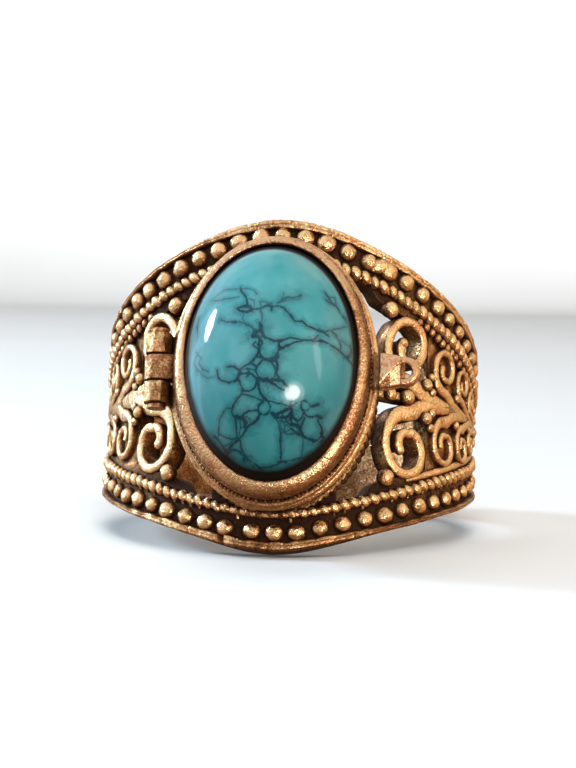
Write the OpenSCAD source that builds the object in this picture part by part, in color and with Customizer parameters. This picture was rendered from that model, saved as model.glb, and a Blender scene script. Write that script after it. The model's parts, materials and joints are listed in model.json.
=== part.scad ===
// Locket ring: a flared openwork band that carries an oval box, whose hinged lid holds a cabochon.
// The parts are drawn about the finger axis Z with the stone towards -Y, and then laid on the band's
// lower edge.

/* [Band] */
// Radius of the finger hole
bore_r = 9.7; // [9.5:0.1:9.8]
// Thickness of the band's sheet
sheet_t = 1.2; // [1.1:0.05:1.3]
// How far the edge rims stand above the sheet
rim_rise = 0.4; // [0.3:0.05:0.5]
// Width of each edge rim along the finger
rim_w = 0.55; // [0.45:0.05:0.65]
// How far the rope rails stand above the sheet
rope_rise = 0.22; // [0.15:0.01:0.3]
// Width of each rope rail
rope_w = 0.55; // [0.45:0.05:0.65]
// Half height of the plain shank at the back
shank_half_h = 2.8; // [2.6:0.1:3]
// Height of the granule rows above the middle, at the front
row_front_h = 8.68; // [8.6:0.02:8.76]

/* [Granules] */
// Radius of a granule in the two rows
granule_r = 0.43; // [0.4:0.01:0.44]
// Angle between two neighbouring granules
granule_step = 6.65; // [6.5:0.05:7]
// Granules on each side of the middle one
granules_a_side = 15; // [10:1:15]

/* [Scrolls] */
// Width of the big volutes' wire
wire_w = 0.56; // [0.5:0.02:0.6]
// How far the wires stand above the sheet
wire_rise = 0.12; // [0.08:0.01:0.16]

/* [Box] */
// Half width of the box's fluted wall
box_a = 5.4; // [5.35:0.05:5.45]
// Half length of the box's fluted wall
box_b = 7.4; // [7.35:0.05:7.45]
// Thickness of the box's wall
box_t = 0.7; // [0.6:0.05:0.8]
// Distance of the box's upper edge from the finger axis
box_top = 13.65; // [13.6:0.01:13.66]

/* [Lid and stone] */
// Half width of the stone
stone_a = 5; // [4.95:0.01:5]
// Half length of the stone
stone_b = 7; // [6.95:0.01:7]
// Height of the stone's dome above its base
stone_h = 4.8; // [4.4:0.1:5]
// Half width of the lid's flange
flange_a = 5.6; // [5.55:0.01:5.62]
// Half length of the lid's flange
flange_b = 7.75; // [7.7:0.01:7.8]
// Gap between the box and the closed lid
lid_gap = 0.1; // [0.08:0.01:0.12]

/* [Hinge] */
// Outer radius of the knuckles
knuckle_r = 0.72; // [0.68:0.01:0.73]
// Radius of the hinge pin
pin_r = 0.38; // [0.34:0.01:0.39]
// Length of the three knuckles together
hinge_len = 4; // [3.8:0.1:4.2]

/* [Hidden] */
sheet_r = bore_r + sheet_t;
rim_r = sheet_r + rim_rise;
wire_r = sheet_r + wire_rise;
axis_h = 60;

// Places inside the finger hole or outside the band where cuts and raised shapes start and end
core_r = bore_r - 0.6;
window_inner_r = core_r - 0.4;
wire_root = core_r - 0.3;
box_root = bore_r - 2;
past = 1;

// Facets of round shapes: cylinders about the finger axis, knuckles and holes, granules
ring_fn = 96;
hole_fn = 48;
granule_fn = 24;

// Flare of the band: the rows' height falls with the angle from the stone, at first slowly
row_fall = 0.072;
row_round = 16;
row_least = 1.9;
edge_past_row = 0.97;
edge_blend = 0.6;
sweep_step = 5;
border_end = 100;
border_fade = 12;
border_least = 0.05;
rope_inner = 1.4;
rail_inner = 2;
window_from = 19;
window_to = 52;

// Volutes of one quarter of the openwork, the first in the window and the others on the sheet: angle round the band, height above the middle,
// half width across and half height of the loop's centre line, wire's width
volutes = [
    [41.9, 2.73, 1.45, 1.79, wire_w],
    [59.2, 2.1, 1, 1.22, 0.44],
    [71.5, 1.75, 0.78, 0.95, 0.34]
];
V_ANGLE = 0;
V_HEIGHT = 1;
V_ACROSS = 2;
V_UP = 3;
V_WIRE = 4;
stem_from = -36;
loop_from = -95;
stem_bend = 2.5;
curl_from = -335;
curl_in = -430;
curl_to = -600;
curl_bend = 1.3;
curl_r = 0.34;
curl_step = 15;
stem_wider = 1.5;
wider_from = -180;
wider_over = 85;
tip_narrower = 0.6;

// Single granules of the openwork: angle round the band, height above the middle, radius
corner_drop = [34.3, 4.96, 0.5];
knot_drop = [49.4, 0.92, 0.48];
middle_drops = [[42, 0, 0.46], [35.6, 0, 0.4]];
D_ANGLE = 0;
D_HEIGHT = 1;
D_R = 2;
bar_h = 0.5;
bar_drop = 0.15;
bar_from = 24;
bar_to = 60;

// A granule's stud: how deep its foot is sunk, and its shoulder, flat top and height as shares of the radius
granule_sunk = 0.3;
granule_shoulder = 0.6;
granule_flat = 0.55;
granule_top = 1.3;

oval_n = 64;
flutes = 72;
flute_d = 0.14;
scallops = 56;
scallop_d = 0.22;
foot_out = 0.4;
foot_bottom = 9.9;
foot_top = 11.1;
mouth_out = 0.25;
mouth_h = 0.42;
floor_rise = 0.08;

lid_bottom = box_top + lid_gap;
flange_t = 0.42;
lid_top = lid_bottom + flange_t;
seat_gap = 0.05;
stone_bottom = lid_top + seat_gap;
stone_top = stone_bottom + stone_h;
dome_power = 1.8;
dome_rows = 12;

// Section of the bezel: how far it stands outside the stone, height above the lid's plate
bezel_section = [
    [0.05, -0.1], [0.44, -0.1], [0.46, 0.12], [0.36, 0.22], [0.36, 0.4], [0.48, 0.5],
    [0.5, 0.78], [0.42, 1.12], [0.26, 1.36], [0.08, 1.46], [-0.1, 1.42], [-0.14, 1.3], [0.05, 0.95]
];

hinge_x = -6.45;
hinge_w = 13.7;
knuckle_gap = 0.06;
lid_knuckle_len = 1.44;
pin_clearance = 0.04;
head_r = 0.52;
head_t = 0.22;
leaf_t = 0.42;
leaf_root = 0.3;

// The tongue: a wedge that starts just inside the flange, and an eye whose hole is half closed by a step
tongue_len = 1.68;
tongue_w = 2.06;
tongue_end_w = 1.7;
tongue_h = 0.95;
tongue_root = 0.12;
wedge_len = 1.58;
ridge_len = 1.2;
ridge_w = 0.6;
eye_r = 0.95;
eye_hole_r = 0.4;
eye_t = 0.6;
eye_step = 0.04;
eye_x = flange_a + tongue_len;

function row_height(a) = row_front_h - row_fall * (sqrt(a * a + row_round * row_round) - row_round);
function edge_height(a) =
    shank_half_h + edge_blend * ln(1 + exp((row_height(a) + edge_past_row - shank_half_h) / edge_blend));
function rail_height(a) = max(row_height(a), row_least);
function border(a) = max(border_least, min(1, (border_end + border_fade - abs(a)) / border_fade));
function oval(a, b, n) = [for (i = [0:n - 1]) [a * cos(360 * i / n), b * sin(360 * i / n)]];
function waved_oval(a, b, n, depth) =
    [for (i = [0:2 * n - 1]) let (t = 180 * i / n, d = depth * (i % 2)) [(a - d) * cos(t), (b - d) * sin(t)]];

back_r = sheet_r + rim_rise * border_least;
rest_tilt = atan((edge_height(0) - shank_half_h) / (bore_r + back_r));
rest_z = shank_half_h * cos(rest_tilt) + back_r * sin(rest_tilt);
front_reach = stone_bottom * cos(rest_tilt) + norm([stone_h * cos(rest_tilt), stone_b * sin(rest_tilt)]);
back_reach = back_r * cos(rest_tilt) + shank_half_h * sin(rest_tilt);
rest_y = (front_reach - back_reach) / 2;

// Lays the ring on its lower edge, so that the stone looks up a little
module at_rest() {
    translate([0, rest_y, rest_z]) rotate([-rest_tilt, 0, 0]) children();
}

// Raises a flat outline towards the stone's side, from one distance to another
module raised(from, to) {
    translate([0, -from, 0]) rotate([90, 0, 0]) linear_extrude(to - from) children();
}

module four_quarters() {
    for (side = [0, 1], end = [0, 1])
        mirror([side, 0, 0]) mirror([0, 0, end]) children();
}

// Points of the band's section at an angle, as radius and height, from its upper inner corner round to
// the lower one
function upper_section(a) = [
    [core_r, edge_height(a)],
    [sheet_r + rim_rise * border(a), edge_height(a)],
    [sheet_r + rim_rise * border(a), edge_height(a) - rim_w],
    [sheet_r, edge_height(a) - rim_w],
    [sheet_r, rail_height(a) - rope_inner + rope_w],
    [sheet_r + rope_rise * border(a), rail_height(a) - rope_inner + rope_w],
    [sheet_r + rope_rise * border(a), rail_height(a) - rope_inner],
    [sheet_r, rail_height(a) - rope_inner]
];
function section(a) =
    let (u = upper_section(a), n = len(u))
    concat(u, [for (i = [n - 1:-1:0]) [u[i][0], -u[i][1]]]);

function on_band(a, r, z) = [r * sin(a), -r * cos(a), z];

// A closed strip of quads round two lists of points, the rings of a sweep
function sweep_faces(rings, n, closed) = [
    for (i = [0:rings - (closed ? 1 : 2)], k = [0:n - 1])
        let (j = (i + 1) % rings, m = (k + 1) % n)
        each [[i * n + k, j * n + m, i * n + m], [i * n + k, j * n + k, j * n + m]]
];

module swept_band() {
    steps = 360 / sweep_step;
    n = len(section(0));
    points = [for (i = [0:steps - 1])
        let (a = i * sweep_step - 180) for (p = section(a)) on_band(a, p[0], p[1])];
    polyhedron(points, sweep_faces(steps, n, true));
}

// The opening of one side, before the scrolls fill it
module window() {
    steps = ceil((window_to - window_from) / sweep_step);
    inner = window_inner_r;
    outer = rim_r + past;
    ring = function (a) let (h = row_height(a) - rail_inner)
        [on_band(a, inner, h), on_band(a, outer, h), on_band(a, outer, -h), on_band(a, inner, -h)];
    points = [for (i = [0:steps]) each ring(window_from + (window_to - window_from) * i / steps)];
    last = 4 * steps;
    difference() {
        polyhedron(points, concat(sweep_faces(steps + 1, 4, false),
            [[0, 1, 2, 3], [last + 3, last + 2, last + 1, last]]));
        raised(core_r - 2 * past, rim_r + 2 * past)
            polygon(oval(box_a - box_t / 2, box_b - box_t / 2, oval_n));
    }
}

// Centre line of a volute: from the stem's foot on the band's middle, round the loop and into the curl
function stem_reach(v) = v[V_HEIGHT] / v[V_UP] / sin(-stem_from);
function volute_radius(v, a) =
    a > loop_from ? 1 + (stem_reach(v) - 1) * pow((a - loop_from) / (stem_from - loop_from), stem_bend)
    : a > curl_from ? 1
    : a > curl_in ? 1 - (1 - curl_r) * pow((curl_from - a) / (curl_from - curl_in), curl_bend)
    : curl_r;
function volute_line(v, angles) =
    [for (a = angles) volute_radius(v, a) * [v[V_ACROSS] * cos(a), v[V_UP] * sin(a)]];
function wire_half(v, a) =
    v[V_WIRE] / 2 * (a > wider_from ? 1 + (stem_wider - 1) * min(1, (a - wider_from) / wider_over)
        : a > curl_from ? 1 : 1 - (1 - tip_narrower) * (curl_from - a) / (curl_from - curl_to));
function side_line(line, offsets) = [
    for (i = [0:len(line) - 1])
        let (d = line[min(i + 1, len(line) - 1)] - line[max(i - 1, 0)])
        line[i] + offsets[i] * [-d[1], d[0]] / norm(d)
];
function reversed(list) = [for (i = [len(list) - 1:-1:0]) list[i]];

module volute(v) {
    angles = [for (a = [stem_from:-curl_step:curl_to]) a];
    line = volute_line(v, angles);
    half = [for (a = angles) wire_half(v, a)];
    rotate([0, 0, v[V_ANGLE]]) translate([0, 0, v[V_HEIGHT]]) raised(wire_root, wire_r + past)
        polygon(concat(side_line(line, half), reversed(side_line(line, -half))));
}

// Plain bar along the middle of each side, under the granules and the volutes' stems
module middle_bar() {
    rotate([0, 0, bar_from - 90]) rotate_extrude(angle = bar_to - bar_from, $fn = ring_fn)
        translate([core_r, -bar_h / 2]) square([sheet_t + bore_r - core_r - bar_drop, bar_h]);
}

module scrolls() {
    intersection() {
        cylinder(r = wire_r, h = axis_h, center = true, $fn = ring_fn);
        four_quarters() for (v = volutes) volute(v);
    }
}

// A granule is a stud with a bevelled top, its foot sunk in the sheet
module granule(a, z, r) {
    translate(on_band(a, sheet_r - granule_sunk, z)) rotate([90, 0, a]) rotate_extrude($fn = granule_fn)
        polygon([[0, 0], [r, 0], [r, granule_sunk + r * granule_shoulder],
            [r * granule_flat, granule_sunk + r * granule_top], [0, granule_sunk + r * granule_top]]);
}

module granule_rows() {
    for (i = [-granules_a_side:granules_a_side], end = [-1, 1])
        granule(i * granule_step, end * row_height(i * granule_step), granule_r);
}

// The box: a foot with a scalloped edge, a fluted wall and a plain mouth
module box_solid() {
    raised(box_root, box_top - mouth_h) polygon(waved_oval(box_a, box_b, flutes, flute_d));
    raised(foot_bottom, foot_top)
        polygon(waved_oval(box_a + foot_out, box_b + foot_out, scallops, scallop_d));
    raised(box_top - mouth_h, box_top) polygon(oval(box_a + mouth_out, box_b + mouth_out, oval_n));
}

module compartment() {
    difference() {
        raised(bore_r, box_top + past) polygon(oval(box_a - box_t, box_b - box_t, oval_n));
        cylinder(r = sheet_r + floor_rise, h = axis_h, center = true, $fn = ring_fn);
    }
}

module on_hinge() {
    translate([hinge_x, -hinge_w, 0]) children();
}

// One knuckle with its leaf, a flat strip that runs from the knuckle to the box or the lid
module knuckle(from, to, leaf_low, leaf_end) {
    on_hinge() translate([0, 0, from]) cylinder(r = knuckle_r, h = to - from, $fn = hole_fn);
    translate([hinge_x, -leaf_low - leaf_t, from]) cube([leaf_end - hinge_x, leaf_t, to - from]);
}

module pin_hole() {
    on_hinge() cylinder(r = pin_r + pin_clearance, h = hinge_len + past, center = true, $fn = hole_fn);
}

module band() {
    color("#b98a4b") at_rest() difference() {
        union() {
            difference() {
                swept_band();
                for (side = [0, 1]) mirror([side, 0, 0]) window();
            }
            scrolls();
            granule_rows();
            four_quarters() for (d = [corner_drop, knot_drop]) granule(d[D_ANGLE], d[D_HEIGHT], d[D_R]);
            for (side = [0, 1]) mirror([side, 0, 0]) {
                middle_bar();
                for (d = middle_drops) granule(d[D_ANGLE], d[D_HEIGHT], d[D_R]);
            }
            box_solid();
            for (end = [0, 1]) mirror([0, 0, end])
                knuckle(lid_knuckle_len / 2 + knuckle_gap, hinge_len / 2, hinge_w - knuckle_r,
                    leaf_root - box_a);
        }
        compartment();
        pin_hole();
        translate([hinge_x, -hinge_w - past, -lid_knuckle_len / 2 - knuckle_gap])
            cube([-hinge_x - box_a - mouth_out, 2 * past, lid_knuckle_len + 2 * knuckle_gap]);
        cylinder(r = bore_r, h = axis_h, center = true, $fn = ring_fn);
    }
}

module bezel() {
    ring = function (t) [for (p = bezel_section)
        [(stone_a + p[0]) * cos(t), -lid_top - p[1], (stone_b + p[0]) * sin(t)]];
    polyhedron([for (i = [0:oval_n - 1]) each ring(-360 * i / oval_n)],
        sweep_faces(oval_n, len(bezel_section), true));
}

// Wedge-shaped nail catch and, at its end, an eye
module tongue() {
    translate([flange_a - tongue_root, -lid_bottom, 0]) hull() {
        translate([0, -eye_t, -tongue_w / 2]) cube([wedge_len / 2, eye_t, tongue_w]);
        translate([0, -eye_t, -tongue_end_w / 2]) cube([wedge_len, eye_t, tongue_end_w]);
        translate([0, -tongue_h, -ridge_w / 2]) cube([ridge_len, tongue_h, ridge_w]);
    }
    translate([eye_x, -lid_bottom, 0]) rotate([90, 0, 0]) cylinder(r = eye_r, h = eye_t, $fn = hole_fn);
}

module lid() {
    color("#c2935a") at_rest() difference() {
        union() {
            raised(lid_bottom, lid_top) polygon(oval(flange_a, flange_b, oval_n));
            bezel();
            knuckle(-lid_knuckle_len / 2, lid_knuckle_len / 2, lid_bottom, leaf_root - flange_a);
            tongue();
        }
        pin_hole();
        translate([eye_x, past - lid_bottom, 0]) rotate([90, 0, 0]) intersection() {
            cylinder(r = eye_hole_r, h = eye_t + 2 * past, $fn = hole_fn);
            translate([eye_step, -eye_r, -past]) cube([eye_r, 2 * eye_r, eye_t + 4 * past]);
        }
    }
}

module stone() {
    share = function (i) pow(1 - pow(i / dome_rows, dome_power), 0.5);
    ring = function (i) [for (k = [0:oval_n - 1])
        let (t = 360 * k / oval_n, f = share(i))
        [stone_a * f * cos(t), -stone_bottom - stone_h * i / dome_rows, stone_b * f * sin(t)]];
    points = [for (i = [0:dome_rows - 1]) each ring(i)];
    top = dome_rows * oval_n;
    first_of_last = (dome_rows - 1) * oval_n;
    color("#4fa0a0") at_rest() polyhedron(concat(points, [[0, -stone_top, 0]]), concat(
        sweep_faces(dome_rows, oval_n, false),
        [[for (k = [0:oval_n - 1]) k]],
        [for (k = [0:oval_n - 1]) [first_of_last + k, top, first_of_last + (k + 1) % oval_n]]
    ));
}

module hinge_pin() {
    color("#a97c46") at_rest() on_hinge() union() {
        cylinder(r = pin_r, h = hinge_len + 2 * knuckle_gap, center = true, $fn = hole_fn);
        for (end = [0, 1]) mirror([0, 0, end])
            translate([0, 0, hinge_len / 2 + knuckle_gap]) cylinder(r = head_r, h = head_t, $fn = hole_fn);
    }
}

band();
lid();
stone();
hinge_pin();
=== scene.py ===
"""Locket ring of antiqued brass: an openwork band, an oval box and a hinged lid with a turquoise cabochon."""
import json
import random
from math import cos, degrees, exp, hypot, log1p, pi, radians, sin, sqrt

import bmesh
import bpy
import numpy as np
from mathutils import Matrix, Quaternion, Vector, noise


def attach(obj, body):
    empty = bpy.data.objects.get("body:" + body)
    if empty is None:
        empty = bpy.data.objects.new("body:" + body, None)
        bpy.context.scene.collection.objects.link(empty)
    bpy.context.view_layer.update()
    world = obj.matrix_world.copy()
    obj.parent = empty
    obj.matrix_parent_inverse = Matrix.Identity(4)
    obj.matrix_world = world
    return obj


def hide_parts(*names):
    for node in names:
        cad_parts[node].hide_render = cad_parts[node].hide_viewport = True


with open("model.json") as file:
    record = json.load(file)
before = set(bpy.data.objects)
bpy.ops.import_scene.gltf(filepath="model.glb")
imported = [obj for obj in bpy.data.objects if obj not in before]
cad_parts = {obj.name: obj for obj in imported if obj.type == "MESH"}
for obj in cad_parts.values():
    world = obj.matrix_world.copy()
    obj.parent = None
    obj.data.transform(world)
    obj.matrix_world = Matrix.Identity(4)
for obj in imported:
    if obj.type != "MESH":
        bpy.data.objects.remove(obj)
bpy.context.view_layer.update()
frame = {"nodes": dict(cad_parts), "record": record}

# The ring's own frame, in millimetres: Z along the finger, the stone towards -Y, the hinge at -X
MM = 0.001
bore = frame["record"]["mounts"][0]
finger = Vector(bore["axis"]).normalized()
side = Vector((1, 0, 0))
REST = (Matrix.Translation(Vector(bore["pos_m"]))
        @ Matrix((side, finger.cross(side), finger)).transposed().to_4x4() @ Matrix.Scale(MM, 4))

# Band
BORE_R = bore["dims"]["r_mm"]
SHEET_R = BORE_R + 1.2
RIM_RISE, RIM_W, RIM_THIN_W = 0.4, 0.55, 0.34
SHANK_HALF_H = 2.8
ROW_FRONT_H, ROW_FALL, ROW_ROUND, ROW_LEAST = 8.68, 0.072, 16, 1.9
EDGE_PAST_ROW, EDGE_BLEND = 0.97, 0.6
BORDER_END, BORDER_FADE = 100, 12
RAILS_TO = BORDER_END + 6
WINDOW_FROM, WINDOW_TO, WINDOW_LEAST_H = 19, 52, 1.2
SUNK_TO, SUNK_BY = 88, 0.2
WINDOW_INNER, RAIL_INNER, INNER_FROM, INNER_TO = 1.45, 2.0, 27, 31
ROPE_DROP, STRAND_DROP, STRAND_FROM = 1.08, 1.68, 42
WIRE_TOP = SHEET_R + 0.16
# The inside of the band is darker than its outside, most under the ornament: painted shade inside the ring.
SHANK_WEAR, SHANK_INSIDE_SHADE, INSIDE_SHADE = 0.72, 0.55, 0.15

# Granules
GRANULE_R, LOWER_GRANULE_R = 0.57, 0.52
GRANULE_STEP = 6.65
MELTED_AT = 4.5 * GRANULE_STEP
GRANULES_A_SIDE = 15
ROW_BREAK_AT, BREAK_LEFT, BREAK_RIGHT = -10, -0.5, 0.9

# Volutes of one quarter: angle round the band, height, half width across, half height, wire's width
VOLUTES = [
    (41.9, 2.73, 1.45, 1.79, 0.6),
    (59.2, 2.1, 1.0, 1.22, 0.44),
    (71.5, 1.75, 0.78, 0.95, 0.34),
    (80.8, 1.2, 0.6, 0.62, 0.28),
]
QUARTERS = [(x, z) for x in (1, -1) for z in (1, -1)]
STEM_TAIL, TAIL_W, TAIL_POINTS = 1.9, 0.2, 6
STEM_FROM, LOOP_FROM, STEM_BEND = -36, -95, 2.5
CURL_FROM, CURL_IN, CURL_TO, CURL_BEND, CURL_R = -320, -430, -585, 1.15, 0.36
STEM_WIDER, WIDER_FROM, WIDER_OVER, TIP_NARROWER = 1.7, -170, 85, 0.95

# Single granules of one quarter's openwork: angle round the band, height, radius
LOOSE_GRANULES = [
    (34.3, 4.96, 0.52), (49.4, 1.0, 0.38), (51.9, 0.62, 0.27), (51.4, 1.5, 0.27), (65.9, 0.8, 0.27),
    (77.2, 0.55, 0.22), (86.4, 0.35, 0.3), (87.2, 1.0, 0.28), (90.5, 0.7, 0.25)]

# Box, lid and stone
BOX_A, BOX_B, BOX_T, BOX_TOP = 5.4, 7.4, 0.7, 13.65
MOUTH_OUT, MOUTH_H = 0.45, 0.42
FOOT_OUT, FOOT_TOP = 0.3, 11.1
HINGE_CLEAR = 5.62
FLUTES, FLUTE_DEPTH, SCALLOPS, SCALLOP_DEPTH = 72, 0.16, 88, 0.1
LID_BOTTOM = BOX_TOP + 0.1
FLANGE_A, FLANGE_B, FLANGE_T = 5.6, 7.75, 0.42
LID_TOP = LID_BOTTOM + FLANGE_T
STONE_A, STONE_B, STONE_H = 5.0, 7.0, 4.8
STONE_BOTTOM = LID_TOP + 0.05
STONE_FOOT_H, STONE_FOOT = 0.05, 0.93
DOME_POWER = 1.8
# Width of the dark band round the stone along the bezel's lip: grime and painted shadow of the lip.
DARK_EDGE = 0.42

# Hinge and tongue
HINGE_X, HINGE_W = -6.45, 13.7
KNUCKLE_R, PIN_R, HINGE_LEN = 0.78, 0.38, 4.0
LID_KNUCKLE_LEN, KNUCKLE_GAP = 1.44, 0.06
TONGUE_LEN, TONGUE_W, TONGUE_H, TONGUE_ROOT_H = 1.68, 2.06, 0.95, 0.4
EYE_R, EYE_HOLE_R, EYE_T = 0.88, 0.4, 0.6
WEDGE_FROM, WEDGE_END, STEP_END = 5.95, 7.06, 7.32

# Camera: where the photograph was taken from, in the ring's own frame
CAMERA_UP, CAMERA_ROUND, CAMERA_ROLL = -0.239358, 0.0831782, 0.0399405
CAMERA_EYE = Vector((11.234, -138.417, -31.256))
FOCAL_PX, FRAME_W_PX, FRAME_H_PX, SENSOR_MM = 2322.83, 576, 768, 36


def direction(azimuth, elevation):
    """A unit vector, which is -Y at an azimuth and elevation of 0."""
    flat = cos(elevation)
    return Vector((sin(azimuth) * flat, -cos(azimuth) * flat, sin(elevation)))


def camera_axes():
    """Right, up and backwards of the camera, in the ring's own frame."""
    back = direction(CAMERA_ROUND, CAMERA_UP)
    level = Vector((cos(CAMERA_ROUND), sin(CAMERA_ROUND), 0))
    upright = back.cross(level)
    right = level * cos(CAMERA_ROLL) + upright * sin(CAMERA_ROLL)
    up = -level * sin(CAMERA_ROLL) + upright * cos(CAMERA_ROLL)
    return right, up, back


def lerp(a, b, t):
    return a + (b - a) * t


def smooth(low, high, value):
    t = min(1, max(0, (value - low) / (high - low)))
    return t * t * (3 - 2 * t)


def turns(count):
    """The angles of equal steps round a circle."""
    return [2 * pi * k / count for k in range(count)]


def row_height(a):
    """Height of a granule row above the middle, at an angle from the stone in degrees."""
    return ROW_FRONT_H - ROW_FALL * (hypot(a, ROW_ROUND) - ROW_ROUND)


def edge_height(a):
    over = (row_height(a) + EDGE_PAST_ROW - SHANK_HALF_H) / EDGE_BLEND
    return SHANK_HALF_H + EDGE_BLEND * log1p(exp(over))


def rail_height(a):
    return max(row_height(a), ROW_LEAST)


def border(a):
    """1 where the band is ornamented, falling to 0 on the plain shank."""
    return min(1, max(0, (BORDER_END + BORDER_FADE - abs(a)) / BORDER_FADE))


def on_band(a, r, z):
    t = radians(a)
    return Vector((r * sin(t), -r * cos(t), z))


def round_finger(r):
    """How far a cylinder round the finger reaches towards the stone's side, as a function of x."""
    return lambda x: sqrt(r * r - x * x)


def grain(p, size, depth):
    """Hand-made unevenness: noise of a given size in millimetres, from -depth to depth."""
    return noise.noise(Vector(p) / size) * depth


def arc(a):
    """Length along the sheet's outside that an angle spans."""
    return radians(a) * SHEET_R


def angle_of(length):
    return degrees(length / SHEET_R)


class Shape:
    """A mesh in the making, in the ring's own frame. Its wear value is 0 in a dark recess and 1 on a rubbed
    top, and in places it is lowered for painted shade.
    """

    def __init__(self):
        self.points = []
        self.faces = []
        self.wear_and_shade = []
        self.veins = {}

    def add(self, points, faces, wear_and_shade):
        base = len(self.points)
        self.points += points
        self.wear_and_shade += [wear_and_shade(p) for p in points] if callable(wear_and_shade) else wear_and_shade
        self.faces += [[base + i for i in face] for face in faces]

    def sweep(self, rings, wear_and_shade, closed=False, capped=True):
        """A skin through rings of points. Its wear and painted shade is a function of the point, or a value
        for each of a ring.
        """
        n = len(rings[0])
        faces = []
        for i in range(len(rings) - (0 if closed else 1)):
            j = (i + 1) % len(rings)
            faces += [[i * n + k, i * n + (k + 1) % n, j * n + (k + 1) % n, j * n + k] for k in range(n)]
        if capped and not closed:
            faces += [list(range(n)), [(len(rings) - 1) * n + k for k in range(n)]]
        self.add([p for ring in rings for p in ring], faces, wear_and_shade if callable(wear_and_shade) else wear_and_shade * len(rings))

    def fan(self, first, count, tip, wear_and_shade):
        """Triangles from a ring of points, which starts at the first, to a tip."""
        self.points.append(tip)
        self.wear_and_shade.append(wear_and_shade)
        self.faces += [[first + k, first + (k + 1) % count, len(self.points) - 1] for k in range(count)]


def link(name, data):
    """Makes an object for a mesh, a light or a camera and puts it in the scene."""
    thing = bpy.data.objects.new(name, data)
    bpy.context.scene.collection.objects.link(thing)
    return thing


def build(name, make, body, material, sharp=40, stands_for=None):
    """Makes a piece from a function that fills a Shape, with its wear and painted shade and its veins as
    vertex attributes.
    """
    shape = Shape()
    make(shape)
    used = sorted({i for face in shape.faces for i in face})
    place = {old: new for new, old in enumerate(used)}
    mesh = bpy.data.meshes.new(name)
    mesh.from_pydata([REST @ shape.points[i] for i in used], [],
                     [[place[i] for i in face] for face in shape.faces])
    turned = bmesh.new()
    turned.from_mesh(mesh)
    bmesh.ops.recalc_face_normals(turned, faces=turned.faces)
    turned.to_mesh(mesh)
    turned.free()
    for key, values in {"wear_and_shade": shape.wear_and_shade, **shape.veins}.items():
        layer = mesh.attributes.new(key, "FLOAT", "POINT")
        layer.data.foreach_set("value", [float(values[i]) for i in used])
    mesh.shade_smooth()
    mesh.set_sharp_from_angle(angle=radians(sharp))
    mesh.materials.append(material)
    piece = link(name, mesh)
    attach(piece, body)
    if stands_for:
        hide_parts(stands_for)


def height_wear(low, high, least=0.0, most=1.0):
    """Wear by the distance from the finger axis, for what stands on the band."""
    return lambda p: lerp(least, most, smooth(low, high, hypot(p.x, p.y)))


def rise_wear(low, high, least=0.0, most=1.0):
    """Wear by the distance towards the stone's side, for the box and the lid."""
    return lambda p: lerp(least, most, smooth(low, high, -p.y))


def sunk(a, z):
    """1 where the sheet lies lower, between the rails and past a window, and 0 elsewhere."""
    rail = rail_height(a)
    past = smooth(WINDOW_TO - 4, WINDOW_TO, abs(a)) * smooth(SUNK_TO + 6, SUNK_TO, abs(a))
    return smooth(rail - 1.5, rail - 1.9, abs(z)) * past


def sheet_wear(a, z):
    """The sheet's wear between the ornaments: least beside the box, more towards the shank."""
    if z <= 0:
        ground = lerp(0.03, 0.3, smooth(22, 62, abs(a)))
    elif a > 0:
        ground = lerp(0.08, 0.34, smooth(15, 40, a))
    else:
        ground = lerp(0.08, 0.2, smooth(40, 70, -a))
    return lerp(SHANK_WEAR, ground, border(a))


def band_sheet(shape):
    """The band's sheet with its two windows, as one closed skin."""
    columns, upper, lower = 480, 20, 10
    rows = 2 * (upper + lower)

    def level(a, k):
        k, sign = (k, 1) if k <= upper + lower else (rows - k, -1)
        inner = lerp(WINDOW_INNER, RAIL_INNER, smooth(INNER_FROM, INNER_TO, abs(a)))
        edge, window = edge_height(a), max(row_height(a) - inner, WINDOW_LEAST_H)
        return sign * (lerp(edge, window, k / upper) if k <= upper else window * (1 - (k - upper) / lower))

    def angle(i):
        return 360 * i / columns - 180

    def solid(i, k):
        in_window = WINDOW_FROM < abs(angle(i % columns + 0.5)) < WINDOW_TO and upper <= k < rows - upper
        return 0 <= k < rows and not in_window

    outside, inside, rubbed, inside_shade = [], [], [], []
    for a in (angle(i) for i in range(columns)):
        for z in (level(a, k) for k in range(rows + 1)):
            p = on_band(a, SHEET_R, z)
            low = sunk(a, z)
            r = SHEET_R - SUNK_BY * low + grain(p, 0.9, 0.03) + grain(p, 0.3, 0.01)
            outside.append(on_band(a, r, z))
            inside.append(on_band(a, BORE_R, z))
            rubbed.append(sheet_wear(a, z) + grain(p, 0.7, 0.1) + 0.3 * low)
            # The bore's inside is dark, darkest under the ornament: painted shade.
            inside_shade.append(lerp(SHANK_INSIDE_SHADE, INSIDE_SHADE, border(a)))

    def at(layer, i, k):
        return (layer * columns + i % columns) * (rows + 1) + k

    faces = []
    for i in range(columns):
        for k in (k for k in range(rows) if solid(i, k)):
            corners = ((i, k), (i + 1, k), (i + 1, k + 1), (i, k + 1))
            faces += [[at(layer, *corner) for corner in corners] for layer in (0, 1)]
            for beside, one, two in (((i - 1, k), 0, 3), ((i + 1, k), 1, 2), ((i, k - 1), 0, 1),
                                     ((i, k + 1), 3, 2)):
                if not solid(*beside):
                    one, two = corners[one], corners[two]
                    faces.append([at(0, *one), at(0, *two), at(1, *two), at(1, *one)])
    shape.add(outside + inside, faces, rubbed + inside_shade)


def nicks(rng, count, span):
    """Places, widths and depths of small file marks along a rim."""
    return [(rng.uniform(-span, span), rng.uniform(0.25, 0.8), rng.uniform(0.02, 0.08)) for _ in range(count)]


def rim_width(a, end):
    """Width of the raised border, which was filed thin along most of its length."""
    if end > 0:
        return lerp(RIM_THIN_W, RIM_W, smooth(-34, -14, a) * smooth(100, 84, a))
    return lerp(RIM_THIN_W, RIM_W - 0.05, smooth(48, 22, abs(a + 8)))


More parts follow.
